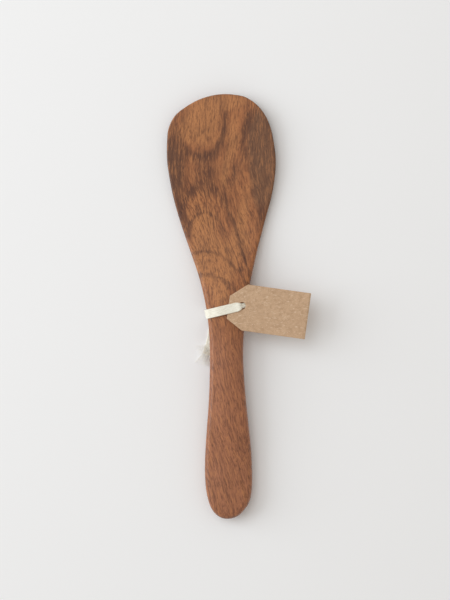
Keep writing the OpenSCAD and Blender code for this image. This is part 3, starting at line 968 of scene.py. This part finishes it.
def tape_material():
    """Cotton tape: the colours of the weave over the mesh's relief, with painted shade in the
    weave's hollows, and slubs and fuzz.
    """
    g = Graph("cotton_tape")
    woven = g.node("UVMap", {}, uv_map=WEAVE_MAP)
    along, across, _ = g.split(g.vector("MULTIPLY", woven, (1 / MM, 1 / MM, 1)))
    turns = 2 * math.pi * MM / YARN_PITCH
    warp = g.math("COSINE", g.times(across, turns / 2))
    weft = g.math("COSINE", g.times(along, turns))
    weave = g.times(warp, weft)
    fuzz = g.noise(millimetres(g), *FUZZ_NOISE)
    slub = g.noise(g.join(g.times(along, SLUB_STRETCH), across, 0.0), *SLUB_NOISE)
    # Painted shade: the hollows of the weave are darkened in the colour, and slubs and fuzz add
    # real tone with the same darker colour
    painted_shade_and_slubs = g.scaled(g.span(weave, -1, 1), HOLLOW_SHADE, g.span(slub, 0.35, 0.7))
    painted_shade_and_slubs = g.math("ADD", painted_shade_and_slubs, g.span(fuzz, 0.45, 0.75, 0, 0.35), clamp=True)
    colour = g.mix(painted_shade_and_slubs, TAPE_LIGHT, TAPE_SHADE_AND_SLUB)
    colour = g.mix(g.span(across, *LOOSE_SPAN_MM), colour, TAPE_LOOSE)
    height = g.scaled(fuzz, FUZZ_HEIGHT, weave)
    return g.finish({"Base Color": colour, "Roughness": g.span(fuzz, 0.3, 0.7, 0.82, 0.95),
                     "Sheen Weight": 0.25, "Sheen Roughness": 0.5, "Specular IOR Level": 0.2,
                     "Normal": g.bump(height, *TAPE_BUMP)})


# Card: its colours and noises
KRAFT = (0.58, 0.388, 0.25)
KRAFT_DARK = (0.47, 0.3, 0.185)
KRAFT_PALE = (0.76, 0.575, 0.42)
PULP_NOISE = (0.5, 5.0, 0.75)
CLOUD_NOISE = (0.09, 3.0, 0.6)
# Fibres that lie along the card and across it: the share of the length that counts, and
# the noise with its distortion
LONG_STRETCH = 0.35
LONG_NOISE = (1.3, 3.0, 0.6, 0.8)
CROSS_STRETCH = 0.3
CROSS_NOISE = (1.2, 3.0, 0.6, 0.8)
PULP_HEIGHT = 0.8
CARD_BUMP = (0.05 * MM, 0.5)


def card_material():
    """Kraft board: cloudy pulp with fibres that lie both ways, and paler at its edges."""
    g = Graph("kraft_card")
    place = millimetres(g)
    x, y, z = g.split(place)
    pulp = g.noise(place, *PULP_NOISE)
    clouds = g.noise(place, *CLOUD_NOISE)
    long_fibres = g.noise(g.join(g.times(x, LONG_STRETCH), y, z), *LONG_NOISE)
    cross_fibres = g.noise(g.join(x, g.times(y, CROSS_STRETCH), z), *CROSS_NOISE)
    facing = g.split(g.node("TexCoord", {}, output="Normal"))[2]
    colour = g.tints(g.mix(g.span(pulp, 0.36, 0.58), KRAFT_DARK, KRAFT), [
        (clouds, 0.4, 0.7, 0.25, KRAFT_DARK),
        (long_fibres, 0.54, 0.68, 0.65, KRAFT_PALE),
        (cross_fibres, 0.58, 0.72, 0.5, KRAFT_DARK),
        (g.math("ABSOLUTE", facing), 0.75, 0.3, 0.7, KRAFT_PALE),
    ])
    height = g.plus(long_fibres, g.times(pulp, PULP_HEIGHT))
    return g.finish({"Base Color": colour, "Roughness": g.span(pulp, 0.3, 0.7, 0.75, 0.92),
                     "Specular IOR Level": 0.25, "Normal": g.bump(height, *CARD_BUMP)})


# Floor and light

FLOOR_SIZE = 6
FLOOR_COLOUR = (0.9, 0.895, 0.914)
ROOM_LIGHT = 0.555
ROOM_COLOUR = (1, 0.96, 0.885)
# Each light's place, width, height, power in watts and colour
WINDOW = (Vector((-2.6, 0.5, 1.3)), 2.3, 2.1, 48, (0.89, 0.957, 1))
SOFTBOX = (Vector((-0.6, 0.5, 1.4)), 1.1, 1.1, 6.6, (0.93, 0.975, 1))


def floor_material():
    return Graph("pale_floor").finish({"Base Color": FLOOR_COLOUR, "Roughness": 0.9,
                                       "Specular IOR Level": 0.1})


def make_light(name, place, width, height, power, colour):
    light = bpy.data.lights.new(name, "AREA")
    light.shape = "RECTANGLE"
    light.size, light.size_y = width, height
    light.energy = power
    light.color = colour
    lamp = bpy.data.objects.new(name, light)
    lamp.location = place
    lamp.rotation_euler = (CAMERA_AIM - place).to_track_quat("-Z", "Y").to_euler()
    bpy.context.scene.collection.objects.link(lamp)


def make_stage():
    bpy.ops.mesh.primitive_plane_add(size=FLOOR_SIZE)
    floor = bpy.context.object
    floor.name = "floor"
    floor.data.materials.append(floor_material())
    make_light("window", *WINDOW)
    make_light("softbox", *SOFTBOX)
    world = bpy.data.worlds.new("room")
    world.use_nodes = True
    room = world.node_tree.nodes["Background"]
    room.inputs["Color"].default_value = (*ROOM_COLOUR, 1)
    room.inputs["Strength"].default_value = ROOM_LIGHT
    bpy.context.scene.world = world
    bpy.context.scene.view_settings.view_transform = "Standard"


def main():
    make_camera()
    tape = tape_material()
    make_tail("tail_long", TAIL_LONG, tape)
    make_tail("tail_short", TAIL_SHORT, tape)
    make_loop_and_knot(tape)
    make_tag(card_material())
    make_wood(wood_material())
    make_stage()


main()
